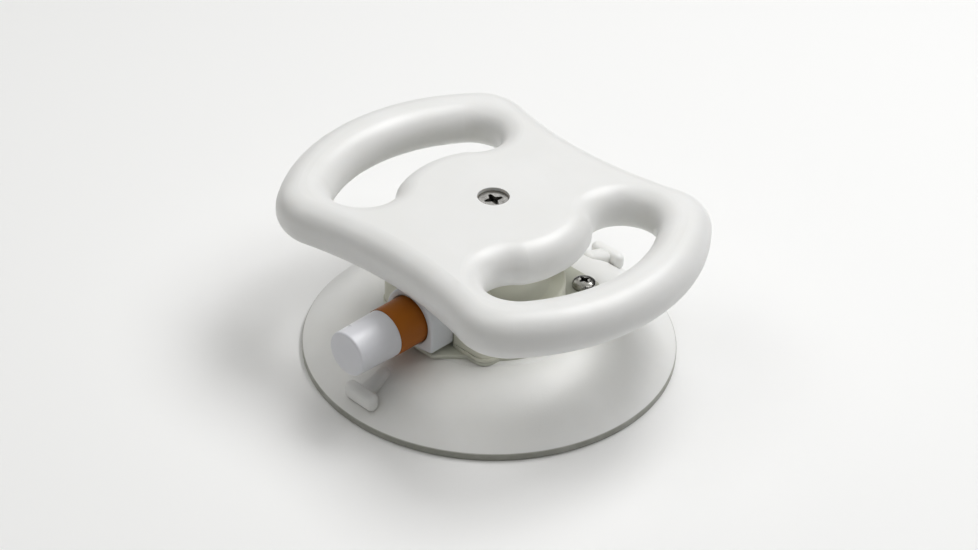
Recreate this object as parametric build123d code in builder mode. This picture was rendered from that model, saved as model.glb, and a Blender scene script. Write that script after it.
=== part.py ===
from build123d import *
import math
import os

# Suction grab bar: a two-loop handle over a pump housing on a 6 inch rubber cup.
# Frame: origin on the screw axis at the cup's sealing face, +Z up, +X along the handle,
# and the plunger's thumb end at -Y. Millimetres.

# ---- cup and its moulded-in core ----
CUP_R = 76.2
CUP_RIM_T = 3.3
CUP_TOP_R = 42.4
CUP_TOP_Z = 20.4
SOCKET_R = 34.6
SOCKET_Z = 18.0
SEAL_R = 65.0
CAVITY_R = 46.0
CAVITY_Z = 6.5
CORE_R = 44.0
CORE_Z = 11.0
CORE_T = 3.5
TAB_Y = 70.5
TAB_W = 16.6
TAB_D = 5.4
TAB_Z0 = 6.6
TAB_Z1 = 13.9
TAB_EDGE_R = 2.3
STEM_TIP_W = 6.0
STEM_ROOT_W = 8.0
STEM_Y0 = 56.4
STEM_Z0 = 18.0
STEM_Z1 = 12.7
STEM_FOOT_Y = 66.0
STEM_EDGE_R = 2.2

# ---- base flange and its screws ----
FLANGE_R = 39.8
FLANGE_NOSE_Y = 43.6
FLANGE_NOSE_W = 22.6
FLANGE_NOSE_L = 13.0
FLANGE_TOP = 22.0
SPIGOT_R = 34.4
EAR_RING_R = 39.4
EAR_R = 6.6
PLATFORM_INSET = 0.6
EAR_BLEND_R = 5.0
EAR_ANGLES = (20.0, 60.0, 120.0, 160.0)
SCREW_R = 2.4
SCREW_HOLE_R = 2.6
SCREW_HEAD_R = 4.95
SCREW_HEAD_T = 3.1
SCREW_END_Z = 12.0
INSERT_R = 3.4
INSERT_BORE_R = 2.42
CORE_BOSS_R = 4.4
PORT_BOSS_R = 7.0

# ---- pump barrel ----
AXIS_Z = 34.0
HEAD_Y0 = -45.3
HEAD_Y1 = -33.9
HEAD_W = 25.6
HEAD_BASE = 22.4
HEAD_BASE_RISE = 1.6
HEAD_CORNER_R = 1.5
BARREL_R = 12.5
BARREL_BORE_R = 11.2
BARREL_Y1 = 24.0
BARREL_COLLAR_R = 14.0
BARREL_COLLAR_Y0 = -22.0
BARREL_COLLAR_Y1 = -19.0
MOUTH_R = 10.2
MOUTH_DEPTH = 4.0

# ---- plunger, which slides along +Y by STROKE ----
STROKE = 28.0
CAP_Y0 = -78.3
BAND_Y0 = -58.4
BAND_Y1 = -41.4
CAP_R0 = 9.2
CAP_R1 = 9.7
BAND_R = 9.9
TUBE_R = 9.9
TUBE_BAND_R = 8.9
TUBE_CAP_R = 8.2
TUBE_BORE_R = 6.9
TUBE_Y0 = -74.0
GUIDE_R = 9.97
GUIDE_Y1 = HEAD_Y0 + MOUTH_DEPTH + 5.0
STOP_T = 1.9
PISTON_Y0 = -34.0
PISTON_Y1 = -28.0
PISTON_R = 10.85
PISTON_SEAL_Y0 = -32.6
PISTON_SEAL_Y1 = -29.6
PISTON_GROOVE_R = 8.6
SEAL_RUN_GAP = 0.07

# ---- valve block, valves and port ----
BLOCK_Y0 = 12.0
BLOCK_WEB_T = 3.0
BLOCK_Y1 = 21.4
BLOCK_R = 11.12
BLOCK_SEAL_Y0 = 12.8
BLOCK_SEAL_Y1 = 15.0
BLOCK_GROOVE_R = 9.6
VALVE_CHAMBER_R = 5.0
POPPET_R = 4.2
POPPET_T = 1.2
POPPET_STEM_R = 1.2
POPPET_STEM_L = 8.6
POPPET_COLLAR_R = 2.1
POPPET_COLLAR_T = 0.8
POPPET_SEAT_GAP = 0.04
VALVE_GUIDE_R = 1.26
VALVE_PORT_R = 0.75
VALVE_PORT_RING_R = 2.7
PORT_Y = 18.3
PORT_R = 2.8
PORT_BORE_R = 1.6
PORT_Z1 = 25.0
PORT_SEAL_RING_R = 3.82
PORT_SEAL_R = 0.98
FILTER_R = 9.0
FILTER_T = 2.0
RETAINER_T = 1.0
RETURN_COIL_R = 8.6
RETURN_WIRE_R = 0.55
RETURN_TURNS = 9
VALVE_COIL_R = 1.75
VALVE_WIRE_R = 0.2
VALVE_TURNS = 5

# ---- housing ----
HOUSING_R = 30.0
HOUSING_FRONT_Y = -33.4
HOUSING_CORNER_R = 5.5
HOUSING_DECK_Z = 33.4
HOUSING_FOOT_W = 0.5
HOUSING_FOOT_H = 1.6
HOUSING_FOOT_GAP = 14.2
HOUSING_WALL = 3.0
ARCH_R = 15.6
ARCH_Y1 = 26.0
PEDESTAL_R = 21.0
HOUSING_TOP = 52.1
HOUSING_BORE_R = 12.6
KEY_SIZE = 21.0
KEY_H = 8.0
KEY_CORNER_R = 3.0
SHELL_SCREW_SPOTS = ((21.0, -22.5), (-21.0, -22.5), (20.8, 11.5), (-20.8, 11.5))
SHELL_SCREW_R = 1.5
SHELL_SCREW_HEAD_R = 3.0
SHELL_BOSS_R = 3.6
SHELL_SCREW_END_Z = 29.4

# ---- handle ----
HANDLE_T = 19.05
HANDLE_BOTTOM = HOUSING_TOP
HANDLE_TOP = HANDLE_BOTTOM + HANDLE_T
HANDLE_TOP_EDGE_R = 9.2
HANDLE_UNDER_EDGE_R = 8.4
HANDLE_R = 86.0
WAIST_Y = 56.5
WAIST_R = 165.5
HANDLE_CORNER_R = 21.4
LOOP_OUTER_R = 65.0
LOOP_INNER_R = 40.5
LOBE_R = 12.7
LOBE_ANGLE = 34.84
LOOP_BLEND_R = 12.0
TOP_SCREW_HEAD_R = 6.3
TOP_SCREW_R = 3.1
TOP_SCREW_END_Z = 50.0
TOP_SCREW_RECESS = 1.3
TOP_SCREW_LAND = 0.3
TOP_SCREW_CROSS_ANGLE = 68.5
HANDLE_INSERT_R = 4.6
HANDLE_INSERT_Z0 = 48.6

os.makedirs("parts", exist_ok=True)

PUMP_AXIS = Axis((0, 0, AXIS_Z), (0, 1, 0))
CORE_TOP = CORE_Z + CORE_T


def pump_plane(y):
    """Plane across the pump's axis at y, with its normal along +Y and its x along +X."""
    return Plane(origin=(0, y, AXIS_Z), x_dir=(-1, 0, 0), z_dir=(0, 1, 0))


def level(z):
    """Horizontal plane at height z."""
    return Plane.XY.offset(z)


def side_plane():
    """The plane x = 0, with local x along +Y and local y up from the pump's axis."""
    return Plane(origin=(0, 0, AXIS_Z), x_dir=(0, 1, 0), z_dir=(1, 0, 0))


def polar(radius, angle):
    return (radius * math.cos(math.radians(angle)), radius * math.sin(math.radians(angle)))


EAR_SPOTS = [polar(EAR_RING_R, ear_angle) for ear_angle in EAR_ANGLES]


def turned(points):
    """Solid turned about the pump's axis from a closed outline of (y, radius) points."""
    with BuildPart() as body:
        with BuildSketch(side_plane()):
            with BuildLine():
                Polyline(points, close=True)
            make_face()
        revolve(axis=PUMP_AXIS)
    return body.part


def ring(y0, y1, outer, inner=0.0):
    """Tube or disc about the pump's axis from y0 to y1."""
    return turned([(y0, inner), (y1, inner), (y1, outer), (y0, outer)])


def coil(y0, y1, radius, wire_r, turns):
    """Compression spring about the pump's axis, inside the stretch from y0 to y1."""
    rise = (y1 - y0 - 2 * wire_r) / turns
    with BuildPart() as body:
        with BuildLine():
            path = Helix(rise, rise * turns, radius, center=(0, y0 + wire_r, AXIS_Z), direction=(0, 1, 0))
        with BuildSketch(Plane(origin=path @ 0, z_dir=path % 0)):
            Circle(wire_r)
        sweep(path=path, is_frenet=True)
    return body.part


def poppet(seat_y):
    """Valve poppet: a disc in front of the seat, a stem through it and a spring collar."""
    face = seat_y - POPPET_SEAT_GAP
    tip = face + POPPET_STEM_L
    neck = tip - POPPET_COLLAR_T
    return turned([
        (face - POPPET_T, 0), (face - POPPET_T, POPPET_R - 0.5), (face - POPPET_T + 0.5, POPPET_R),
        (face, POPPET_R), (face, POPPET_STEM_R), (neck, POPPET_STEM_R), (neck, POPPET_COLLAR_R),
        (tip, POPPET_COLLAR_R), (tip, 0),
    ])


def valve_spring(seat_y):
    """Light spring round the poppet's stem, between the web and the stem's collar."""
    web_back = seat_y + BLOCK_WEB_T
    collar_front = seat_y - POPPET_SEAT_GAP + POPPET_STEM_L - POPPET_COLLAR_T
    return coil(web_back + 0.03, collar_front - 0.03, VALVE_COIL_R, VALVE_WIRE_R, VALVE_TURNS)


def cross_outline(centre, angle, size, root, tip):
    """Points round a screw's cross recess: arms root wide at the middle and tip wide at the ends."""
    points = []
    for quarter in range(4):
        spin = math.radians(angle + 90 * quarter)
        for along, across in ((root / 2, -root / 2), (size / 2, -tip / 2), (size / 2, tip / 2)):
            x = centre[0] + along * math.cos(spin) - across * math.sin(spin)
            y = centre[1] + along * math.sin(spin) + across * math.cos(spin)
            points.append((x, y))
    return points


def save(part, name):
    part.label = name
    export_step(part, f"parts/{name}.step")


# ======== handle ========
with BuildSketch(level(HANDLE_BOTTOM)) as handle_outline:
    Circle(HANDLE_R)
    with Locations((0, WAIST_Y + WAIST_R), (0, -WAIST_Y - WAIST_R)):
        Circle(WAIST_R, mode=Mode.SUBTRACT)
    fillet(handle_outline.vertices(), HANDLE_CORNER_R)

with BuildSketch(level(HANDLE_BOTTOM)) as loop_outline:
    with BuildLine():
        outer_arc = CenterArc((0, 0), LOOP_OUTER_R, -LOBE_ANGLE, 2 * LOBE_ANGLE)
        inner_arc = CenterArc((0, 0), LOOP_INNER_R, -LOBE_ANGLE, 2 * LOBE_ANGLE)
        Line(outer_arc @ 0, inner_arc @ 0)
        Line(outer_arc @ 1, inner_arc @ 1)
    make_face()
    lobe_ring_r = LOOP_OUTER_R - LOBE_R
    with Locations(polar(lobe_ring_r, LOBE_ANGLE), polar(lobe_ring_r, -LOBE_ANGLE)):
        Circle(LOBE_R)
    blend_corners = loop_outline.vertices().sort_by(Axis.X)[:2]
    fillet(blend_corners, LOOP_BLEND_R)

with BuildPart() as handle:
    add(handle_outline.sketch)
    extrude(amount=HANDLE_T, dir=(0, 0, 1))
    with BuildSketch(level(HANDLE_BOTTOM)):
        add(loop_outline.sketch)
        mirror(about=Plane.YZ)
    extrude(amount=HANDLE_T, dir=(0, 0, 1), mode=Mode.SUBTRACT)
    fillet(handle.faces().sort_by(Axis.Z)[-1].edges(), HANDLE_TOP_EDGE_R)
    fillet(handle.faces().sort_by(Axis.Z)[0].edges(), HANDLE_UNDER_EDGE_R)
    with BuildSketch(level(HANDLE_BOTTOM)):
        RectangleRounded(KEY_SIZE + 0.3, KEY_SIZE + 0.3, KEY_CORNER_R + 0.15)
    extrude(amount=KEY_H + 0.4, mode=Mode.SUBTRACT)
    sink_z = HANDLE_TOP - TOP_SCREW_RECESS - TOP_SCREW_LAND
    with Locations(level(sink_z)):
        CounterSinkHole(TOP_SCREW_R + 0.3, TOP_SCREW_HEAD_R + 0.1, depth=HANDLE_T, counter_sink_angle=82)
    with BuildSketch(level(sink_z)):
        Circle(TOP_SCREW_HEAD_R + 0.1)
    extrude(amount=HANDLE_TOP - sink_z, mode=Mode.SUBTRACT)
save(handle.part, "handle")

# ======== handle screw ========
with BuildPart() as handle_screw:
    head_top = HANDLE_TOP - TOP_SCREW_RECESS
    sink = (TOP_SCREW_HEAD_R - TOP_SCREW_R) / math.tan(math.radians(41))
    with BuildSketch(Plane.XZ):
        with BuildLine():
            Polyline(
                (0, TOP_SCREW_END_Z), (TOP_SCREW_R - 0.8, TOP_SCREW_END_Z),
                (TOP_SCREW_R, TOP_SCREW_END_Z + 0.8), (TOP_SCREW_R, head_top - sink - TOP_SCREW_LAND),
                (TOP_SCREW_HEAD_R, head_top - TOP_SCREW_LAND), (TOP_SCREW_HEAD_R, head_top - 0.05),
                (0, head_top - 0.05), close=True,
            )
        make_face()
    revolve(axis=Axis.Z)
    with BuildSketch(level(head_top)):
        with BuildLine():
            Polyline(cross_outline((0, 0), TOP_SCREW_CROSS_ANGLE, 7.6, 2.6, 1.2), close=True)
        make_face()
    extrude(amount=-2.6, taper=10, mode=Mode.SUBTRACT)
save(handle_screw.part, "handle_screw")

# ======== outlines shared by the housing, the flange and the pad ========
with BuildSketch(level(FLANGE_TOP)) as housing_plan:
    Circle(HOUSING_R)
    with Locations((0, HOUSING_FRONT_Y / 2)):
        Rectangle(2 * HOUSING_R, -HOUSING_FRONT_Y)
    fillet(housing_plan.vertices().group_by(Axis.Y)[0], HOUSING_CORNER_R)

with BuildSketch(level(CUP_TOP_Z)) as flange_outline:
    Circle(FLANGE_R)
    with Locations(*EAR_SPOTS):
        Circle(EAR_R)
    fillet(flange_outline.vertices(), EAR_BLEND_R)
    rear_x, rear_y = EAR_SPOTS[1]
    with Locations((0, rear_y)):
        Rectangle(2 * rear_x, 2 * EAR_R)
    offset(housing_plan.sketch_local, amount=HOUSING_FOOT_W, mode=Mode.ADD)
    nose_root_x = FLANGE_NOSE_W / 2 + FLANGE_NOSE_L
    nose_root_y = FLANGE_NOSE_L - FLANGE_NOSE_Y
    with BuildLine():
        Polyline((-nose_root_x, nose_root_y), (-FLANGE_NOSE_W / 2, -FLANGE_NOSE_Y),
                 (FLANGE_NOSE_W / 2, -FLANGE_NOSE_Y), (nose_root_x, nose_root_y), close=True)
    make_face()


# ======== suction pad ========
with BuildPart() as tab_stem:
    with BuildSketch(Plane.YZ):
        with BuildLine():
            Polyline(
                (STEM_Y0, CAVITY_Z + 2), (STEM_FOOT_Y - 3, CAVITY_Z + 0.5), (STEM_FOOT_Y + 1, TAB_Z0 + 1),
                (TAB_Y, TAB_Z0 + 1), (TAB_Y, STEM_Z1), (STEM_Y0, STEM_Z0), close=True,
            )
        make_face()
    extrude(amount=STEM_ROOT_W / 2, both=True)
    with BuildSketch(Plane.XY):
        with BuildLine():
            Polyline((-STEM_TIP_W / 2, STEM_Y0), (STEM_TIP_W / 2, STEM_Y0), (STEM_ROOT_W / 2, TAB_Y),
                     (-STEM_ROOT_W / 2, TAB_Y), close=True)
        make_face()
    extrude(amount=CUP_TOP_Z, mode=Mode.INTERSECT)
    fillet(tab_stem.faces().sort_by(Axis.Y)[0].edges().filter_by(Axis.Z), 2.4)
    fillet(tab_stem.faces().sort_by(Axis.Z)[-1].edges(), STEM_EDGE_R)

with BuildPart() as tab_bar:
    with BuildSketch(level(TAB_Z0)):
        with Locations((0, TAB_Y)):
            SlotOverall(TAB_W, TAB_D)
    extrude(amount=TAB_Z1 - TAB_Z0)
    fillet(tab_bar.faces().filter_by(Axis.Z).edges(), TAB_EDGE_R)

with BuildPart() as suction_pad:
    with BuildSketch(Plane.XZ):
        with BuildLine():
            rim_foot = (CUP_R, 0.4)
            rim_top = (CUP_R, CUP_RIM_T - 0.4)
            Polyline((0, CAVITY_Z), (CAVITY_R, CAVITY_Z))
            Spline((CAVITY_R, CAVITY_Z), (SEAL_R - 7, 3.6), (SEAL_R, 0), tangents=((1, 0), (1, -0.75)))
            Polyline((SEAL_R, 0), (CUP_R - 0.4, 0), rim_foot, rim_top, (CUP_R - 0.4, CUP_RIM_T))
            Spline(
                (CUP_R - 0.4, CUP_RIM_T), (69.0, 8.3), (61.5, 13.6), (52.0, 18.0),
                (CUP_TOP_R + 0.5, CUP_TOP_Z - 0.5),
                tangents=((-1, 0.74), (-1, 0.08)),
            )
            Polyline((CUP_TOP_R + 0.5, CUP_TOP_Z - 0.5), (CUP_TOP_R - 0.3, CUP_TOP_Z), (SOCKET_R, CUP_TOP_Z),
                     (SOCKET_R, SOCKET_Z), (0, SOCKET_Z), (0, CAVITY_Z))
        make_face()
    revolve(axis=Axis.Z)
    with BuildSketch(level(CORE_TOP)):
        offset(flange_outline.sketch_local, amount=-PLATFORM_INSET)
    extrude(amount=CUP_TOP_Z - CORE_TOP)
    with BuildSketch(level(SOCKET_Z)):
        Circle(SOCKET_R)
    extrude(amount=CUP_TOP_Z - SOCKET_Z, mode=Mode.SUBTRACT)
    for piece in (tab_stem.part, tab_bar.part):
        add(piece)
        add(piece.mirror(Plane.XZ))
    with BuildSketch(level(CORE_Z)):
        Circle(CORE_R)
    extrude(amount=CORE_T, mode=Mode.SUBTRACT)
    with BuildSketch(level(CORE_TOP)):
        with Locations(*EAR_SPOTS):
            Circle(CORE_BOSS_R)
    extrude(amount=CUP_TOP_Z - CORE_TOP, mode=Mode.SUBTRACT)
    with BuildSketch(level(CORE_TOP)):
        with Locations((0, PORT_Y)):
            Circle(PORT_BOSS_R)
    extrude(amount=SOCKET_Z - CORE_TOP, mode=Mode.SUBTRACT)
    with BuildSketch(level(CAVITY_Z)):
        with Locations((0, PORT_Y)):
            Circle(FILTER_R)
    extrude(amount=FILTER_T + RETAINER_T, mode=Mode.SUBTRACT)
    with BuildSketch(level(CAVITY_Z)):
        with Locations((0, PORT_Y)):
            Circle(PORT_BORE_R)
    extrude(amount=CORE_Z - CAVITY_Z, mode=Mode.SUBTRACT)
save(suction_pad.part, "suction_pad")

# ======== pad core ========
with BuildPart() as pad_core:
    with BuildSketch(level(CORE_Z)):
        Circle(CORE_R)
    extrude(amount=CORE_T)
    with BuildSketch(level(CORE_TOP)):
        with Locations(*EAR_SPOTS):
            Circle(CORE_BOSS_R)
    extrude(amount=CUP_TOP_Z - CORE_TOP)
    with BuildSketch(level(CORE_TOP)):
        with Locations((0, PORT_Y)):
            Circle(PORT_BOSS_R)
    extrude(amount=SOCKET_Z - CORE_TOP)
    with BuildSketch(level(CORE_Z)):
        with Locations(*EAR_SPOTS):
            Circle(INSERT_R)
        with Locations((0, PORT_Y)):
            Circle(PORT_R)
    extrude(amount=CUP_TOP_Z - CORE_Z, mode=Mode.SUBTRACT)
save(pad_core.part, "pad_core")

# ======== core inserts ========
with BuildPart() as core_inserts:
    with BuildSketch(level(CORE_Z)):
        with Locations(*EAR_SPOTS):
            Circle(INSERT_R)
            Circle(INSERT_BORE_R, mode=Mode.SUBTRACT)
    extrude(amount=CUP_TOP_Z - CORE_Z)
save(core_inserts.part, "core_inserts")

# ======== base flange ========
with BuildPart() as base_flange:
    with BuildSketch(level(CUP_TOP_Z)):
        add(flange_outline.sketch_local)
    extrude(amount=FLANGE_TOP - CUP_TOP_Z)
    chamfer(base_flange.faces().sort_by(Axis.Z)[-1].edges(), 0.4)
    with BuildSketch(level(SOCKET_Z)):
        Circle(SPIGOT_R)
    extrude(amount=FLANGE_TOP - SOCKET_Z)
    with BuildSketch(level(SOCKET_Z)):
        with Locations(*EAR_SPOTS):
            Circle(SCREW_HOLE_R)
        with Locations((0, PORT_Y)):
            Circle(PORT_R + 0.08)
    extrude(amount=FLANGE_TOP - SOCKET_Z, mode=Mode.SUBTRACT)
    with BuildSketch(level(SOCKET_Z)):
        with Locations((0, PORT_Y)):
            Circle(PORT_SEAL_RING_R + PORT_SEAL_R + 0.02)
    extrude(amount=2 * PORT_SEAL_R + 0.04, mode=Mode.SUBTRACT)
    with Locations(Plane(origin=(0, 0, SOCKET_Z), x_dir=(1, 0, 0), z_dir=(0, 0, -1))):
        with Locations(*[(x, -y) for x, y in SHELL_SCREW_SPOTS]):
            CounterSinkHole(SHELL_SCREW_R + 0.15, SHELL_SCREW_HEAD_R + 0.3, depth=4.0, counter_sink_angle=90)
    add(ring(HEAD_Y1 - 0.1, BARREL_Y1 + 0.3, HOUSING_BORE_R), mode=Mode.SUBTRACT)
    add(ring(BARREL_COLLAR_Y0 - 0.2, BARREL_COLLAR_Y1 + 0.2, BARREL_COLLAR_R + 0.2), mode=Mode.SUBTRACT)
save(base_flange.part, "base_flange")

# ======== flange screws ========
with BuildPart() as flange_screws:
    for spot in EAR_SPOTS:
        with BuildSketch(Plane(origin=(spot[0], spot[1], 0), x_dir=(1, 0, 0), z_dir=(0, -1, 0))):
            with BuildLine():
                head_side = FLANGE_TOP + 1.1
                head_peak = FLANGE_TOP + SCREW_HEAD_T
                Polyline((0, head_peak), (0, SCREW_END_Z), (SCREW_R - 0.6, SCREW_END_Z),
                         (SCREW_R, SCREW_END_Z + 0.6), (SCREW_R, FLANGE_TOP), (SCREW_HEAD_R, FLANGE_TOP),
                         (SCREW_HEAD_R, head_side))
                Spline((SCREW_HEAD_R, head_side), (SCREW_HEAD_R - 1.1, head_peak - 0.45), (0, head_peak),
                       tangents=((0, 1), (-1, 0)))
            make_face()
        revolve(axis=Axis((spot[0], spot[1], 0), (0, 0, 1)))
    with BuildSketch(level(FLANGE_TOP + SCREW_HEAD_T + 0.2)):
        for spot, ear_angle in zip(EAR_SPOTS, EAR_ANGLES):
            with BuildLine():
                Polyline(cross_outline(spot, ear_angle + 20, 4.8, 1.8, 0.9), close=True)
            make_face()
    extrude(amount=-2.0, taper=9, mode=Mode.SUBTRACT)
save(flange_screws.part, "flange_screws")

# ======== pump housing ========
with BuildPart() as pump_housing:
    with BuildSketch(level(FLANGE_TOP)):
        add(housing_plan.sketch)
    extrude(amount=HOUSING_DECK_Z - FLANGE_TOP)
    fillet(pump_housing.faces().sort_by(Axis.Z)[-1].edges(), 1.2)
    with BuildSketch(level(FLANGE_TOP)):
        offset(housing_plan.sketch, amount=HOUSING_FOOT_W)
        with Locations((0, HOUSING_FRONT_Y - 2)):
            Rectangle(2 * HOUSING_FOOT_GAP, 4, mode=Mode.SUBTRACT)
    extrude(amount=HOUSING_FOOT_H)
    add(ring(HOUSING_FRONT_Y, ARCH_Y1, ARCH_R))
    with BuildSketch(Plane.XZ):
        with BuildLine():
            Polyline((0, HOUSING_DECK_Z - 4), (PEDESTAL_R + 5, HOUSING_DECK_Z - 4),
                     (PEDESTAL_R + 5, HOUSING_DECK_Z - 0.6))
            Spline((PEDESTAL_R + 5, HOUSING_DECK_Z - 0.6), (PEDESTAL_R + 1.2, HOUSING_DECK_Z + 2.2),
                   (PEDESTAL_R, HOUSING_DECK_Z + 6), tangents=((-1, 0.15), (0, 1)))
            Polyline((PEDESTAL_R, HOUSING_DECK_Z + 6), (PEDESTAL_R, HOUSING_TOP - 0.6),
                     (PEDESTAL_R - 0.6, HOUSING_TOP), (0, HOUSING_TOP), (0, HOUSING_DECK_Z - 4))
        make_face()
    revolve(axis=Axis.Z)
    with BuildSketch(level(FLANGE_TOP)):
        Circle(2 * HOUSING_R)
    extrude(amount=-FLANGE_TOP, mode=Mode.SUBTRACT)
    with BuildSketch(level(HOUSING_TOP)):
        RectangleRounded(KEY_SIZE, KEY_SIZE, KEY_CORNER_R)
    extrude(amount=KEY_H)
    chamfer(pump_housing.faces().sort_by(Axis.Z)[-1].edges(), 0.6)
    with BuildSketch(level(FLANGE_TOP)):
        offset(housing_plan.sketch, amount=-HOUSING_WALL)
        Rectangle(2 * ARCH_R + 0.4, 3 * HOUSING_R, mode=Mode.SUBTRACT)
        for spot in SHELL_SCREW_SPOTS:
            with Locations(spot):
                Circle(SHELL_BOSS_R, mode=Mode.SUBTRACT)
    extrude(amount=HOUSING_DECK_Z - HOUSING_WALL - FLANGE_TOP, mode=Mode.SUBTRACT)
    with BuildSketch(level(FLANGE_TOP)):
        with Locations(*SHELL_SCREW_SPOTS):
            Circle(SHELL_SCREW_R)
    extrude(amount=SHELL_SCREW_END_Z + 0.5 - FLANGE_TOP, mode=Mode.SUBTRACT)
    for y0, y1, half_width in (
        (HOUSING_FRONT_Y - 1, BARREL_Y1 + 0.3, HOUSING_BORE_R),
        (BARREL_COLLAR_Y0 - 0.2, BARREL_COLLAR_Y1 + 0.2, BARREL_COLLAR_R + 0.2),
    ):
        add(ring(y0, y1, half_width), mode=Mode.SUBTRACT)
        with BuildSketch(level(FLANGE_TOP)):
            with Locations((0, (y0 + y1) / 2)):
                Rectangle(2 * half_width, y1 - y0)
        extrude(amount=AXIS_Z - FLANGE_TOP, mode=Mode.SUBTRACT)
    with BuildSketch(level(HOUSING_TOP + KEY_H)):
        Circle(HANDLE_INSERT_R)
    extrude(amount=HANDLE_INSERT_Z0 - HOUSING_TOP - KEY_H, mode=Mode.SUBTRACT)
save(pump_housing.part, "pump_housing")

# ======== housing screws ========
with BuildPart() as housing_screws:
    for spot in SHELL_SCREW_SPOTS:
        with BuildSketch(Plane(origin=(spot[0], spot[1], 0), x_dir=(1, 0, 0), z_dir=(0, -1, 0))):
            with BuildLine():
                head_base = SOCKET_Z + 0.1
                neck_z = head_base + SHELL_SCREW_HEAD_R - SHELL_SCREW_R + 0.1
                Polyline((0, head_base), (SHELL_SCREW_HEAD_R, head_base),
                         (SHELL_SCREW_HEAD_R, head_base + 0.1), (SHELL_SCREW_R, neck_z),
                         (SHELL_SCREW_R, SHELL_SCREW_END_Z - 1.5), (0, SHELL_SCREW_END_Z), close=True)
            make_face()
        revolve(axis=Axis((spot[0], spot[1], 0), (0, 0, 1)))
save(housing_screws.part, "housing_screws")

# ======== handle insert ========
with BuildPart() as handle_insert:
    with BuildSketch(level(HANDLE_INSERT_Z0)):
        Circle(HANDLE_INSERT_R)
        Circle(TOP_SCREW_R + 0.02, mode=Mode.SUBTRACT)
    extrude(amount=HOUSING_TOP + KEY_H - HANDLE_INSERT_Z0)
save(handle_insert.part, "handle_insert")

# ======== pump barrel ========
with BuildPart() as pump_barrel:
    with BuildSketch(pump_plane(HEAD_Y0)) as head_outline:
        half_w = HEAD_W / 2
        base = HEAD_BASE - AXIS_Z
        corner = base + HEAD_BASE_RISE
        with BuildLine():
            Line((half_w, corner), (half_w, 0))
            ThreePointArc((half_w, 0), (0, half_w), (-half_w, 0))
            Line((-half_w, 0), (-half_w, corner))
            ThreePointArc((-half_w, corner), (0, base), (half_w, corner))
        make_face()
        fillet(head_outline.vertices().group_by(Axis.Y)[0], HEAD_CORNER_R)
    extrude(amount=HEAD_Y1 - HEAD_Y0)
    fillet(pump_barrel.faces().sort_by(Axis.Y)[0].edges(), 1.0)
    add(ring(HEAD_Y1, BARREL_Y1, BARREL_R))
    add(ring(BARREL_COLLAR_Y0, BARREL_COLLAR_Y1, BARREL_COLLAR_R))
    mouth_end = HEAD_Y0 + MOUTH_DEPTH
    add(turned([(HEAD_Y0 - 1, 0), (HEAD_Y0 - 1, MOUTH_R + 0.45), (HEAD_Y0, MOUTH_R + 0.45),
                (HEAD_Y0 + 0.45, MOUTH_R), (mouth_end, MOUTH_R), (mouth_end, 0)]), mode=Mode.SUBTRACT)
    add(ring(mouth_end, BARREL_Y1 + 1, BARREL_BORE_R), mode=Mode.SUBTRACT)
    with BuildSketch(level(FLANGE_TOP - 2)):
        with Locations((0, PORT_Y)):
            Circle(PORT_R + 0.05)
    extrude(amount=5, mode=Mode.SUBTRACT)
save(pump_barrel.part, "pump_barrel")

# ======== plunger guide and stop ring ========
with BuildPart() as plunger_guide:
    add(ring(mouth_end + 0.02, GUIDE_Y1, BARREL_BORE_R - 0.02, GUIDE_R))
    chamfer(plunger_guide.edges().filter_by(GeomType.CIRCLE), 0.3)
save(plunger_guide.part, "plunger_guide")

with BuildPart() as stop_ring:
    add(ring(GUIDE_Y1 + 0.02, GUIDE_Y1 + STOP_T, BARREL_BORE_R - 0.05, GUIDE_R + 0.2))
    fillet(stop_ring.edges().filter_by(GeomType.CIRCLE), 0.4)
save(stop_ring.part, "stop_ring")

# ======== plunger ========
with BuildPart() as plunger_cap:
    add(turned([(CAP_Y0, 0), (CAP_Y0, CAP_R0), (BAND_Y0, CAP_R1), (BAND_Y0, TUBE_CAP_R + 0.02),
                (TUBE_Y0 - 0.02, TUBE_CAP_R + 0.02), (TUBE_Y0 - 0.02, 0)]))
    fillet(plunger_cap.faces().sort_by(Axis.Y)[0].edges(), 0.9)
save(plunger_cap.part, "plunger_cap")

with BuildPart() as indicator_band:
    add(ring(BAND_Y0 + 0.01, BAND_Y1 - 0.01, BAND_R, TUBE_BAND_R + 0.02))
save(indicator_band.part, "indicator_band")

with BuildPart() as plunger_tube:
    add(turned([(TUBE_Y0, TUBE_BORE_R), (TUBE_Y0, TUBE_CAP_R), (BAND_Y0, TUBE_CAP_R), (BAND_Y0, TUBE_BAND_R),
                (BAND_Y1, TUBE_BAND_R), (BAND_Y1, TUBE_R), (PISTON_Y0, TUBE_R), (PISTON_Y0, TUBE_BORE_R)]))
    with BuildSketch(level(AXIS_Z)):
        with Locations((0, BAND_Y1 + 3.2)):
            Circle(1.0)
    extrude(amount=TUBE_R + 1, both=True, mode=Mode.SUBTRACT)
save(plunger_tube.part, "plunger_tube")

with BuildPart() as piston_head:
    seat_y = PISTON_Y0 - 4.0
    web_back = seat_y + BLOCK_WEB_T
    add(turned([
        (seat_y, VALVE_GUIDE_R), (seat_y, TUBE_BORE_R - 0.04), (PISTON_Y0 + 0.02, TUBE_BORE_R - 0.04),
        (PISTON_Y0 + 0.02, PISTON_R), (PISTON_SEAL_Y0, PISTON_R), (PISTON_SEAL_Y0, PISTON_GROOVE_R),
        (PISTON_SEAL_Y1, PISTON_GROOVE_R), (PISTON_SEAL_Y1, PISTON_R), (PISTON_Y1, PISTON_R),
        (PISTON_Y1, VALVE_CHAMBER_R), (web_back, VALVE_CHAMBER_R), (web_back, VALVE_GUIDE_R),
    ]))
    with BuildSketch(pump_plane(seat_y)):
        with PolarLocations(VALVE_PORT_RING_R, 4, start_angle=45):
            Circle(VALVE_PORT_R)
    extrude(amount=BLOCK_WEB_T, mode=Mode.SUBTRACT)
save(piston_head.part, "piston_head")

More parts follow.
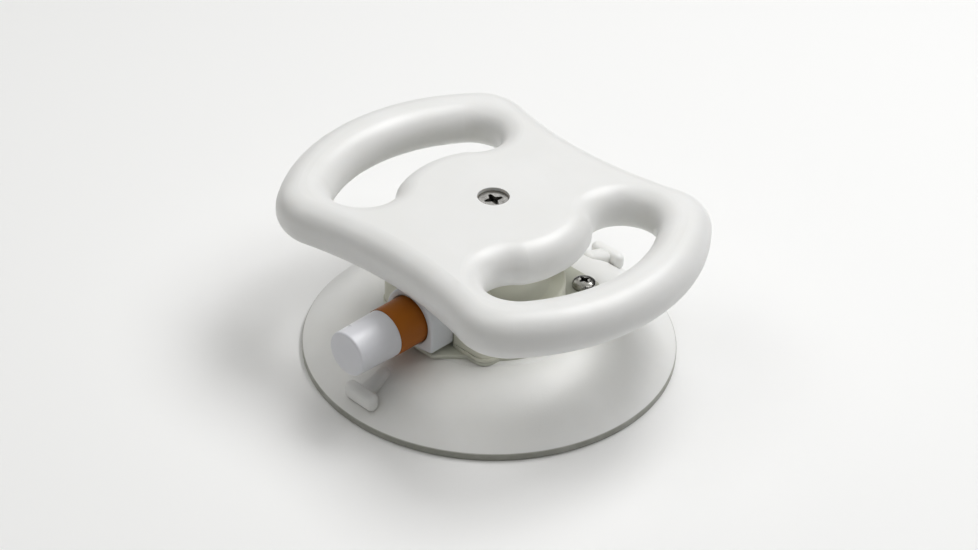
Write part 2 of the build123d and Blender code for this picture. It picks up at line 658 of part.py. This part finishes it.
with BuildPart() as piston_seal:
    lip_r = BARREL_BORE_R - SEAL_RUN_GAP
    heel_y = PISTON_SEAL_Y0 + 0.05
    toe_y = PISTON_SEAL_Y1 - 0.05
    add(turned([
        (heel_y, PISTON_GROOVE_R + 0.02), (heel_y, lip_r - 0.35), (toe_y - 0.6, lip_r), (toe_y, lip_r - 0.15),
        (toe_y, lip_r - 0.6), (heel_y + 1.1, (PISTON_GROOVE_R + lip_r) / 2), (toe_y, PISTON_GROOVE_R + 0.7),
        (toe_y, PISTON_GROOVE_R + 0.02),
    ]))
save(piston_seal.part, "piston_seal")

save(coil(PISTON_Y1 + 0.02, BLOCK_Y0 - 0.02, RETURN_COIL_R, RETURN_WIRE_R, RETURN_TURNS), "return_spring")

# ======== valves ========
save(poppet(seat_y), "exhaust_valve")
save(valve_spring(seat_y), "exhaust_valve_spring")
save(poppet(BLOCK_Y0), "inlet_valve")
save(valve_spring(BLOCK_Y0), "inlet_valve_spring")

# ======== valve block ========
with BuildPart() as valve_block:
    web_back = BLOCK_Y0 + BLOCK_WEB_T
    add(turned([
        (BLOCK_Y0, VALVE_GUIDE_R), (BLOCK_Y0, BLOCK_R), (BLOCK_SEAL_Y0, BLOCK_R),
        (BLOCK_SEAL_Y0, BLOCK_GROOVE_R), (BLOCK_SEAL_Y1, BLOCK_GROOVE_R), (BLOCK_SEAL_Y1, BLOCK_R),
        (BLOCK_Y1, BLOCK_R), (BLOCK_Y1, VALVE_CHAMBER_R), (web_back, VALVE_CHAMBER_R),
        (web_back, VALVE_GUIDE_R),
    ]))
    with BuildSketch(pump_plane(BLOCK_Y0)):
        with PolarLocations(VALVE_PORT_RING_R, 4, start_angle=45):
            Circle(VALVE_PORT_R)
    extrude(amount=BLOCK_WEB_T, mode=Mode.SUBTRACT)
    with BuildSketch(level(FLANGE_TOP)):
        with Locations((0, PORT_Y)):
            Circle(PORT_R + 0.02)
    extrude(amount=PORT_Z1 + 0.05 - FLANGE_TOP, mode=Mode.SUBTRACT)
    with BuildSketch(level(FLANGE_TOP)):
        with Locations((0, PORT_Y)):
            Circle(PORT_BORE_R)
    extrude(amount=AXIS_Z - FLANGE_TOP, mode=Mode.SUBTRACT)
save(valve_block.part, "valve_block")

with BuildPart() as valve_block_seal:
    seal_ring_r = (BLOCK_GROOVE_R + BARREL_BORE_R) / 2
    with BuildSketch(side_plane()):
        with Locations(((BLOCK_SEAL_Y0 + BLOCK_SEAL_Y1) / 2, seal_ring_r)):
            Circle(seal_ring_r - BLOCK_GROOVE_R - 0.02)
    revolve(axis=PUMP_AXIS)
save(valve_block_seal.part, "valve_block_seal")

# ======== barrel plug ========
with BuildPart() as barrel_plug:
    add(ring(BLOCK_Y1 + 0.02, BARREL_Y1, BARREL_BORE_R - 0.05))
    chamfer(barrel_plug.faces().sort_by(Axis.Y)[-1].edges(), 0.4)
    with BuildSketch(pump_plane(BARREL_Y1)):
        SlotOverall(14, 2.4)
    extrude(amount=-1.2, mode=Mode.SUBTRACT)
save(barrel_plug.part, "barrel_plug")

# ======== port tube and its seal ========
with BuildPart() as port_tube:
    with BuildSketch(level(CORE_Z)):
        with Locations((0, PORT_Y)):
            Circle(PORT_R)
            Circle(PORT_BORE_R, mode=Mode.SUBTRACT)
    extrude(amount=PORT_Z1 - CORE_Z)
    chamfer(port_tube.faces().sort_by(Axis.Z)[-1].outer_wire().edges(), 0.4)
save(port_tube.part, "port_tube")

with BuildPart() as port_seal:
    with BuildSketch(Plane(origin=(0, PORT_Y, SOCKET_Z), x_dir=(1, 0, 0), z_dir=(0, -1, 0))):
        with Locations((PORT_SEAL_RING_R, PORT_SEAL_R + 0.02)):
            Circle(PORT_SEAL_R)
    revolve(axis=Axis((0, PORT_Y, 0), (0, 0, 1)))
save(port_seal.part, "port_seal")

# ======== inlet filter and its retainer ========
with BuildPart() as inlet_filter:
    with BuildSketch(level(CAVITY_Z + RETAINER_T)):
        with Locations((0, PORT_Y)):
            Circle(FILTER_R - 0.05)
    extrude(amount=FILTER_T)
save(inlet_filter.part, "inlet_filter")

with BuildPart() as filter_retainer:
    with BuildSketch(level(CAVITY_Z)):
        with Locations((0, PORT_Y)):
            Circle(FILTER_R - 0.05)
            Circle(1.1, mode=Mode.SUBTRACT)
            with PolarLocations(4.6, 6):
                Circle(1.1, mode=Mode.SUBTRACT)
    extrude(amount=RETAINER_T)
save(filter_retainer.part, "filter_retainer")
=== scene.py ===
import bpy
import math
from mathutils import Euler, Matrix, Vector


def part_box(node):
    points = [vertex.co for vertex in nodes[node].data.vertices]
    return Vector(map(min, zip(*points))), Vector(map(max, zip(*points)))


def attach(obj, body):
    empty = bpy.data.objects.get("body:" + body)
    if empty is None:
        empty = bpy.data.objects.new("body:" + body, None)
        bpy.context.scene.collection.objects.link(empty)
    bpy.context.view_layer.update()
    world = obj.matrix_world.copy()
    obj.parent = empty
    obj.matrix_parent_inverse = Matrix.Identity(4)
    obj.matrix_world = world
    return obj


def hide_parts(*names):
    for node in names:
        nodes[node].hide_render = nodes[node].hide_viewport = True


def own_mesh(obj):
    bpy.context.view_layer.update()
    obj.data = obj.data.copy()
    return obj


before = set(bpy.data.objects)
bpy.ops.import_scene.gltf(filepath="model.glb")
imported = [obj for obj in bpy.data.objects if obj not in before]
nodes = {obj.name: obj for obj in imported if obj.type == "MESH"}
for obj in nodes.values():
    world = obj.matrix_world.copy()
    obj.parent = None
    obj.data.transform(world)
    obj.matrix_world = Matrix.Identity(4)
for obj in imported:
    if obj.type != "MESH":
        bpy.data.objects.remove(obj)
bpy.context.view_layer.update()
scene = bpy.context.scene
scene.view_settings.view_transform = "Standard"

# ---- camera ----
EYE = Vector((0.54717, -0.56652, 0.58347))
AIM = Vector((0.00581, -0.00726, 0.04))
ROLL = math.radians(1.61)
SENSOR_WIDTH = 36.0
FOCAL_LENGTH = 88.34
NEAR_CLIP = 0.01
camera_data = bpy.data.cameras.new("camera")
camera_data.sensor_width = SENSOR_WIDTH
camera_data.lens = FOCAL_LENGTH
camera_data.clip_start = NEAR_CLIP
camera = bpy.data.objects.new("camera", camera_data)
scene.collection.objects.link(camera)
camera.location = EYE
look = (AIM - EYE).to_track_quat("-Z", "Y")
camera.rotation_euler = (look @ Euler((0, 0, ROLL)).to_quaternion()).to_euler()
scene.camera = camera


# ---- lights and world ----
PANEL_SIZE = 0.7
GLOSS_SIZE = 0.45
BODY_MIDDLE = (0, 0, 0.03)
HANDLE_MIDDLE = (0, 0, 0.07)
WARM = (1.0, 0.99, 0.92)
DOME_LOW = 0.02
DOME_HIGH = 0.10


def area_light(name, place, watts, size=PANEL_SIZE, aim=BODY_MIDDLE, tint=(1, 1, 1)):
    """A square soft panel at place, turned towards aim."""
    data = bpy.data.lights.new(name, "AREA")
    data.shape = "RECTANGLE"
    data.size = size
    data.size_y = size
    data.energy = watts
    data.color = tint
    lamp = bpy.data.objects.new(name, data)
    scene.collection.objects.link(lamp)
    lamp.location = place
    lamp.rotation_euler = (Vector(aim) - Vector(place)).to_track_quat("-Z", "Y").to_euler()


area_light("rear_key", (0.0, 0.70, 1.24), 9.7)
area_light("rear_right_key", (0.495, 0.495, 1.24), 6.0)
area_light("overhead", (0.0, 0.0, 1.43), 2.2)
area_light("left_card", (-0.495, -0.495, 1.24), 2.3)
area_light("front_card", (0.0, -0.70, 1.24), 1.6, tint=WARM)
area_light("low_front_card", (0.0, -1.236, 0.69), 0.3, tint=WARM)
area_light("low_left_card", (-1.236, 0.0, 0.69), 1.0, tint=WARM)
area_light("gloss_card", (-0.80, 0.84, 0.90), 0.55, size=GLOSS_SIZE, aim=HANDLE_MIDDLE)

world = bpy.data.worlds.new("studio")
scene.world = world
world.use_nodes = True
sky = world.node_tree
up_down = sky.nodes.new("ShaderNodeSeparateXYZ")
sky.links.new(sky.nodes.new("ShaderNodeTexCoord").outputs["Generated"], up_down.inputs[0])
dome = sky.nodes.new("ShaderNodeMapRange")
dome.inputs["From Min"].default_value = 0.0
dome.inputs["From Max"].default_value = 1.0
dome.inputs["To Min"].default_value = DOME_LOW
dome.inputs["To Max"].default_value = DOME_HIGH
sky.links.new(up_down.outputs["Z"], dome.inputs["Value"])
sky.links.new(dome.outputs["Result"], sky.nodes["Background"].inputs["Strength"])
sky.nodes["Background"].inputs["Color"].default_value = (1.0, 1.0, 1.0, 1)


# ---- material building blocks; scales are per metre and depths in metres ----
MM_PER_M = 1000.0
CLOUD_SCALE = 28.0
SPECK_SCALE = 420.0
SPECK_SHARE = 0.3
SMEAR_SCALE = 45.0
SMEAR_STRETCH = (1, 2.5, 1)
SMEAR_TURN = (0, 0, 0.7)
WAVE_SCALE = 55.0
WAVE_DEPTH = 0.0006
WAVE_STRENGTH = 0.12
GRAIN_STRENGTH = 0.6
SCRATCH_DEPTH = 0.00002
SCRATCH_STRENGTH = 0.5
SCRATCH_LINES = (((60, 900, 900), (0, 0, 0.5)), ((900, 70, 900), (0, 0, 1.1)))
SCRATCH_PATCH_SCALE = 35.0
# Reach of the occlusion mask that paints shade into plastic corners.
PLASTIC_SHADE_REACH = 0.006
# Reach and share of the painted shade in metal corners.
METAL_SHADE_REACH = 0.002
METAL_SHADE_SHARE = 0.75
TARNISH_SCALE = 300.0
TARNISH_SHARE = 0.6
TURNING_STRETCH = (1, 1, 3)
TURNING_DEPTH = 0.00002
GRAIN_STRENGTH_METAL = 0.5
PLASTIC_IOR = 1.49
SKIN_RADIUS = (1.0, 0.9, 0.8)
SKIN_SCALE = 0.003
# Colour for real dust specks and for painted shade in corners.
DUST_AND_SHADE = (0.5, 0.48, 0.42)
# Painted shade on the pad's outward-facing rim: its colour, noise, fade and reach.
RIM_SHADE_BREAKUP_SCALE = 90.0
RIM_FADE = 0.8
RIM_SHADE_COLOUR = (0.33, 0.33, 0.285)
RIM_INNER_R = 0.0757
RIM_OUTER_R = 0.0761
RIM_TOP_Z = 0.0036


def start_material(name):
    """A new material with its shader and the object's own coordinates in metres."""
    m = bpy.data.materials.new(name)
    m.use_nodes = True
    tree = m.node_tree
    shader = tree.nodes["Principled BSDF"]
    coords = tree.nodes.new("ShaderNodeTexCoord").outputs["Object"]
    return m, tree, shader, coords


def stretched(tree, coords, scale, turn=(0, 0, 0)):
    mapping = tree.nodes.new("ShaderNodeMapping")
    mapping.inputs["Scale"].default_value = scale
    mapping.inputs["Rotation"].default_value = turn
    tree.links.new(coords, mapping.inputs["Vector"])
    return mapping.outputs["Vector"]


def noise(tree, coords, scale, detail=3.0, rough=0.5, distort=0.0):
    n = tree.nodes.new("ShaderNodeTexNoise")
    n.inputs["Scale"].default_value = scale
    n.inputs["Detail"].default_value = detail
    n.inputs["Roughness"].default_value = rough
    n.inputs["Distortion"].default_value = distort
    tree.links.new(coords, n.inputs["Vector"])
    return n.outputs["Fac"]


def remap(tree, value, low, high, out_low=0.0, out_high=1.0):
    r = tree.nodes.new("ShaderNodeMapRange")
    r.interpolation_type = "SMOOTHSTEP"
    r.inputs["From Min"].default_value = low
    r.inputs["From Max"].default_value = high
    r.inputs["To Min"].default_value = out_low
    r.inputs["To Max"].default_value = out_high
    tree.links.new(value, r.inputs["Value"])
    return r.outputs["Result"]


def mixed(tree, share, a, b):
    """Colour mix of a and b, each a socket or an RGB triple."""
    m = tree.nodes.new("ShaderNodeMix")
    m.data_type = "RGBA"
    if isinstance(share, float):
        m.inputs["Factor"].default_value = share
    else:
        tree.links.new(share, m.inputs["Factor"])
    for value, index in ((a, 6), (b, 7)):
        if isinstance(value, tuple):
            m.inputs[index].default_value = (*value, 1)
        else:
            tree.links.new(value, m.inputs[index])
    return m.outputs[2]


def maths(tree, kind, a, b):
    n = tree.nodes.new("ShaderNodeMath")
    n.operation = kind
    n.use_clamp = kind == "ADD"
    for value, socket in ((a, n.inputs[0]), (b, n.inputs[1])):
        if isinstance(value, float):
            socket.default_value = value
        else:
            tree.links.new(value, socket)
    return n.outputs[0]


def bump(tree, height, distance, strength, normal=None):
    b = tree.nodes.new("ShaderNodeBump")
    b.inputs["Distance"].default_value = distance
    b.inputs["Strength"].default_value = strength
    tree.links.new(height, b.inputs["Height"])
    if normal is not None:
        tree.links.new(normal, b.inputs["Normal"])
    return b.outputs["Normal"]


def crevices(tree, reach):
    """1 in tight corners, 0 on open surfaces."""
    ao = tree.nodes.new("ShaderNodeAmbientOcclusion")
    ao.inputs["Distance"].default_value = reach
    ao.samples = 6
    return remap(tree, ao.outputs["AO"], 0.35, 0.95, 1.0, 0.0)


def scratches(tree, coords):
    """Fine handling scratches in two directions: 1 on a scratch, 0 off it."""
    total = None
    for scale, turn in SCRATCH_LINES:
        n = noise(tree, stretched(tree, coords, scale, turn), 1.0, 2.0, 0.6)
        hit = remap(tree, n, 0.66, 0.74)
        total = hit if total is None else maths(tree, "MAXIMUM", total, hit)
    patches = remap(tree, noise(tree, coords, SCRATCH_PATCH_SCALE, 2.0), 0.45, 0.65)
    return maths(tree, "MULTIPLY", total, patches)


def rim_shade_band(tree, coords, tone, rim_shade):
    """Mixes painted shade into the rim past a radius from the Z axis and below a height."""
    colour, inner, outer, top = rim_shade
    place = tree.nodes.new("ShaderNodeSeparateXYZ")
    tree.links.new(coords, place.inputs[0])
    flat = tree.nodes.new("ShaderNodeCombineXYZ")
    tree.links.new(place.outputs["X"], flat.inputs["X"])
    tree.links.new(place.outputs["Y"], flat.inputs["Y"])
    reach = tree.nodes.new("ShaderNodeVectorMath")
    reach.operation = "LENGTH"
    tree.links.new(flat.outputs[0], reach.inputs[0])
    outward = remap(tree, reach.outputs["Value"], inner, outer)
    low = remap(tree, place.outputs["Z"], top * RIM_FADE, top, 1.0, 0.0)
    # Noise breaks up the painted rim shade.
    shade_breakup = remap(tree, noise(tree, coords, RIM_SHADE_BREAKUP_SCALE, 4.0, 0.6), 0.25, 0.75, 0.75, 1.0)
    return mixed(tree, maths(tree, "MULTIPLY", maths(tree, "MULTIPLY", outward, low), shade_breakup), tone, colour)


def moulded(name, colour, shade, rough, spread, grain_mm, grain_depth, dust_and_shade=DUST_AND_SHADE, dust_and_shade_share=0.25,
            skin=0.0, scratch=0.0, gloss_level=0.5, rim_shade=None):
    """Moulded plastic or rubber: cloudy colour, uneven gloss, fine grain, dust specks, and painted shade in
    tight corners.
    """
    m, tree, shader, coords = start_material(name)
    cloud = remap(tree, noise(tree, coords, CLOUD_SCALE, 4.0, 0.55, 0.3), 0.3, 0.7)
    tone = mixed(tree, cloud, colour, shade)
    # Painted shade: occluded corners are mixed towards the dust colour; the specks below are real dust.
    corner_shade = maths(tree, "MULTIPLY", crevices(tree, PLASTIC_SHADE_REACH), dust_and_shade_share)
    speck = remap(tree, noise(tree, coords, SPECK_SCALE, 5.0, 0.7), 0.60, 0.78)
    specks = maths(tree, "MULTIPLY", speck, dust_and_shade_share * SPECK_SHARE)
    tone = mixed(tree, maths(tree, "ADD", corner_shade, specks), tone, dust_and_shade)
    # Painted shade on the rim.
    if rim_shade is not None:
        tone = rim_shade_band(tree, coords, tone, rim_shade)
    tree.links.new(tone, shader.inputs["Base Color"])
    smear = noise(tree, stretched(tree, coords, SMEAR_STRETCH, SMEAR_TURN), SMEAR_SCALE, 5.0, 0.6, 0.4)
    gloss = remap(tree, smear, 0.25, 0.75, rough - spread, rough + spread)
    grain = noise(tree, coords, MM_PER_M / grain_mm, 3.0, 0.55)
    normal = bump(tree, grain, grain_depth, GRAIN_STRENGTH)
    waves = noise(tree, coords, WAVE_SCALE, 2.0, 0.4)
    normal = bump(tree, waves, WAVE_DEPTH, WAVE_STRENGTH, normal)
    if scratch:
        marks = scratches(tree, coords)
        gloss = maths(tree, "ADD", gloss, maths(tree, "MULTIPLY", marks, scratch))
        normal = bump(tree, marks, -SCRATCH_DEPTH, SCRATCH_STRENGTH, normal)
    tree.links.new(gloss, shader.inputs["Roughness"])
    tree.links.new(normal, shader.inputs["Normal"])
    shader.inputs["IOR"].default_value = PLASTIC_IOR
    shader.inputs["Specular IOR Level"].default_value = gloss_level
    if skin:
        shader.inputs["Subsurface Weight"].default_value = skin
        shader.inputs["Subsurface Radius"].default_value = SKIN_RADIUS
        shader.inputs["Subsurface Scale"].default_value = SKIN_SCALE
    return m


def metal(name, colour, tarnish_and_shade, rough, spread, grain_mm=0.25):
    """Turned or drawn metal with fine lines, patchy tarnish, painted shade in the corners and patchy gloss.
    """
    m, tree, shader, coords = start_material(name)
    patch = remap(tree, noise(tree, coords, TARNISH_SCALE, 5.0, 0.6), 0.35, 0.75)
    tone = mixed(tree, maths(tree, "MULTIPLY", patch, TARNISH_SHARE), colour, tarnish_and_shade)
    # Painted shade: occluded corners are mixed towards the dark tarnish colour.
    shaded_corners = maths(tree, "MULTIPLY", crevices(tree, METAL_SHADE_REACH), METAL_SHADE_SHARE)
    tone = mixed(tree, shaded_corners, tone, tarnish_and_shade)
    tree.links.new(tone, shader.inputs["Base Color"])
    shader.inputs["Metallic"].default_value = 1.0
    fine = noise(tree, stretched(tree, coords, TURNING_STRETCH), MM_PER_M / grain_mm, 2.0)
    tree.links.new(remap(tree, fine, 0.3, 0.7, rough - spread, rough + spread), shader.inputs["Roughness"])
    tree.links.new(bump(tree, fine, TURNING_DEPTH, GRAIN_STRENGTH_METAL), shader.inputs["Normal"])
    return m


handle_white = moulded("handle_white", (0.81, 0.81, 0.80), (0.785, 0.785, 0.77), 0.34, 0.06, 0.5, 0.00003,
                       skin=0.12, dust_and_shade_share=0.10, scratch=0.12)
pad_white = moulded("pad_white", (0.87, 0.87, 0.855), (0.83, 0.83, 0.81), 0.42, 0.08, 0.8, 0.00005,
                    skin=0.08, dust_and_shade_share=0.18, scratch=0.06,
                    rim_shade=(RIM_SHADE_COLOUR, RIM_INNER_R, RIM_OUTER_R, RIM_TOP_Z))
housing_cream = moulded("housing_cream", (0.74, 0.745, 0.64), (0.70, 0.70, 0.59), 0.50, 0.07, 0.35, 0.00004,
                        skin=0.06, dust_and_shade_share=0.30)
# Painted shade: the flange's cream is a darker copy of the housing's, for the shade under the handle.
flange_cream_shaded = moulded("flange_cream_shaded", (0.68, 0.69, 0.60), (0.63, 0.64, 0.55), 0.48, 0.07, 0.35, 0.00004,
                       skin=0.06, dust_and_shade_share=0.30)
barrel_white = moulded("barrel_white", (0.70, 0.72, 0.745), (0.67, 0.69, 0.72), 0.36, 0.06, 0.3, 0.00002,
                       skin=0.15, dust_and_shade_share=0.22)
cap_white = moulded("cap_white", (0.70, 0.705, 0.735), (0.66, 0.665, 0.70), 0.30, 0.06, 0.3, 0.00003,
                    skin=0.10, dust_and_shade_share=0.12, scratch=0.08)
band_orange = moulded("band_orange", (0.38, 0.112, 0.002), (0.32, 0.092, 0.0015), 0.46, 0.07, 0.3, 0.00002,
                      dust_and_shade=(0.12, 0.035, 0.002), dust_and_shade_share=0.3, gloss_level=0.25)
tube_white = moulded("tube_white", (0.80, 0.81, 0.85), (0.77, 0.78, 0.83), 0.34, 0.05, 0.3, 0.00002, skin=0.1)
inner_grey = moulded("inner_grey", (0.60, 0.60, 0.57), (0.54, 0.54, 0.51), 0.50, 0.07, 0.3, 0.00003)
valve_grey = moulded("valve_grey", (0.12, 0.125, 0.14), (0.09, 0.095, 0.11), 0.45, 0.08, 0.3, 0.00003,
                     dust_and_shade=(0.3, 0.3, 0.3), dust_and_shade_share=0.15)
seal_black = moulded("seal_black", (0.022, 0.022, 0.023), (0.032, 0.032, 0.032), 0.48, 0.10, 0.25, 0.00003,
                     dust_and_shade=(0.25, 0.24, 0.22), dust_and_shade_share=0.12)
core_grey = moulded("core_grey", (0.45, 0.45, 0.43), (0.40, 0.40, 0.38), 0.55, 0.07, 0.4, 0.00004)
felt_grey = moulded("felt_grey", (0.62, 0.60, 0.54), (0.50, 0.48, 0.43), 0.92, 0.05, 0.6, 0.0003,
                    dust_and_shade=(0.35, 0.32, 0.28), dust_and_shade_share=0.4)
screw_steel = metal("screw_steel", (0.58, 0.57, 0.54), (0.10, 0.095, 0.085), 0.22, 0.06)
spring_steel = metal("spring_steel", (0.55, 0.55, 0.54), (0.25, 0.24, 0.22), 0.30, 0.08, 0.15)
insert_brass = metal("insert_brass", (0.75, 0.55, 0.22), (0.38, 0.25, 0.09), 0.30, 0.08, 0.2)

LOOKS = {
    "handle": handle_white, "handle_screw": screw_steel, "pump_housing": housing_cream,
    "base_flange": flange_cream_shaded, "flange_screws": screw_steel, "housing_screws": screw_steel,
    "pump_barrel": barrel_white, "plunger_cap": cap_white, "indicator_band": band_orange,
    "plunger_tube": tube_white, "piston_head": tube_white, "plunger_guide": inner_grey,
    "valve_block": inner_grey, "barrel_plug": inner_grey, "exhaust_valve": valve_grey,
    "inlet_valve": valve_grey, "piston_seal": seal_black, "stop_ring": seal_black,
    "valve_block_seal": seal_black, "port_seal": seal_black, "exhaust_valve_spring": spring_steel,
    "inlet_valve_spring": spring_steel, "return_spring": spring_steel, "suction_pad": pad_white,
    "pad_core": core_grey, "core_inserts": insert_brass, "handle_insert": insert_brass,
    "port_tube": insert_brass, "inlet_filter": felt_grey, "filter_retainer": inner_grey,
}
for node, material in LOOKS.items():
    data = nodes[node].data
    data.materials.clear()
    data.materials.append(material)


# ---- coil springs, built in place of their CAD nodes ----
TURN_STEPS = 36
WIRE_SIDES = 10
CLOSED_END = 0.75
RETURN_WIRE_R = 0.00055
RETURN_TURNS = 9
VALVE_WIRE_R = 0.0002
VALVE_TURNS = 5


def spring(node, body, wire, turns):
    """Closed-end compression spring in place of its CAD node, attached to the given body."""
    low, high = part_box(node)
    ring = (high[0] - low[0]) / 2 - wire
    middle = ((high[0] + low[0]) / 2, (high[2] + low[2]) / 2)
    length = high[1] - low[1]
    steps = turns * TURN_STEPS
    points, faces = [], []
    for i in range(steps + 1):
        share = i / steps
        eased = share - CLOSED_END * math.sin(2 * math.pi * share) / (2 * math.pi)
        turn = 2 * math.pi * turns * share
        for k in range(WIRE_SIDES):
            side = 2 * math.pi * k / WIRE_SIDES
            out = ring + wire * math.cos(side)
            along = low[1] + wire + (length - 2 * wire) * eased + wire * math.sin(side)
            points.append((middle[0] + out * math.cos(turn), along, middle[1] + out * math.sin(turn)))
    for i in range(steps):
        for k in range(WIRE_SIDES):
            here, after = i * WIRE_SIDES + k, i * WIRE_SIDES + (k + 1) % WIRE_SIDES
            faces.append((here, after, after + WIRE_SIDES, here + WIRE_SIDES))
    faces.append(tuple(range(WIRE_SIDES)))
    faces.append(tuple(steps * WIRE_SIDES + k for k in reversed(range(WIRE_SIDES))))
    mesh = bpy.data.meshes.new(node + "_coil")
    mesh.from_pydata(points, [], faces)
    mesh.shade_smooth()
    mesh.materials.append(spring_steel)
    coil = bpy.data.objects.new(node + "_coil", mesh)
    scene.collection.objects.link(coil)
    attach(coil, body)
    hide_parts(node)
    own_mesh(coil)


spring("return_spring", "base", RETURN_WIRE_R, RETURN_TURNS)
spring("exhaust_valve_spring", "plunger", VALVE_WIRE_R, VALVE_TURNS)
spring("inlet_valve_spring", "base", VALVE_WIRE_R, VALVE_TURNS)


# ---- floor ----
FLOOR_HALF = 4.0
FLOOR_COLOUR = (0.89, 0.89, 0.885, 1)
FLOOR_ROUGHNESS = 0.8
floor_mesh = bpy.data.meshes.new("floor")
floor_mesh.from_pydata(
    [(-FLOOR_HALF, -FLOOR_HALF, 0), (FLOOR_HALF, -FLOOR_HALF, 0), (FLOOR_HALF, FLOOR_HALF, 0),
     (-FLOOR_HALF, FLOOR_HALF, 0)], [], [(0, 1, 2, 3)])
floor = bpy.data.objects.new("floor", floor_mesh)
scene.collection.objects.link(floor)
floor_look, _, floor_shader, _ = start_material("floor_pale")
floor_shader.inputs["Base Color"].default_value = FLOOR_COLOUR
floor_shader.inputs["Roughness"].default_value = FLOOR_ROUGHNESS
floor_mesh.materials.append(floor_look)
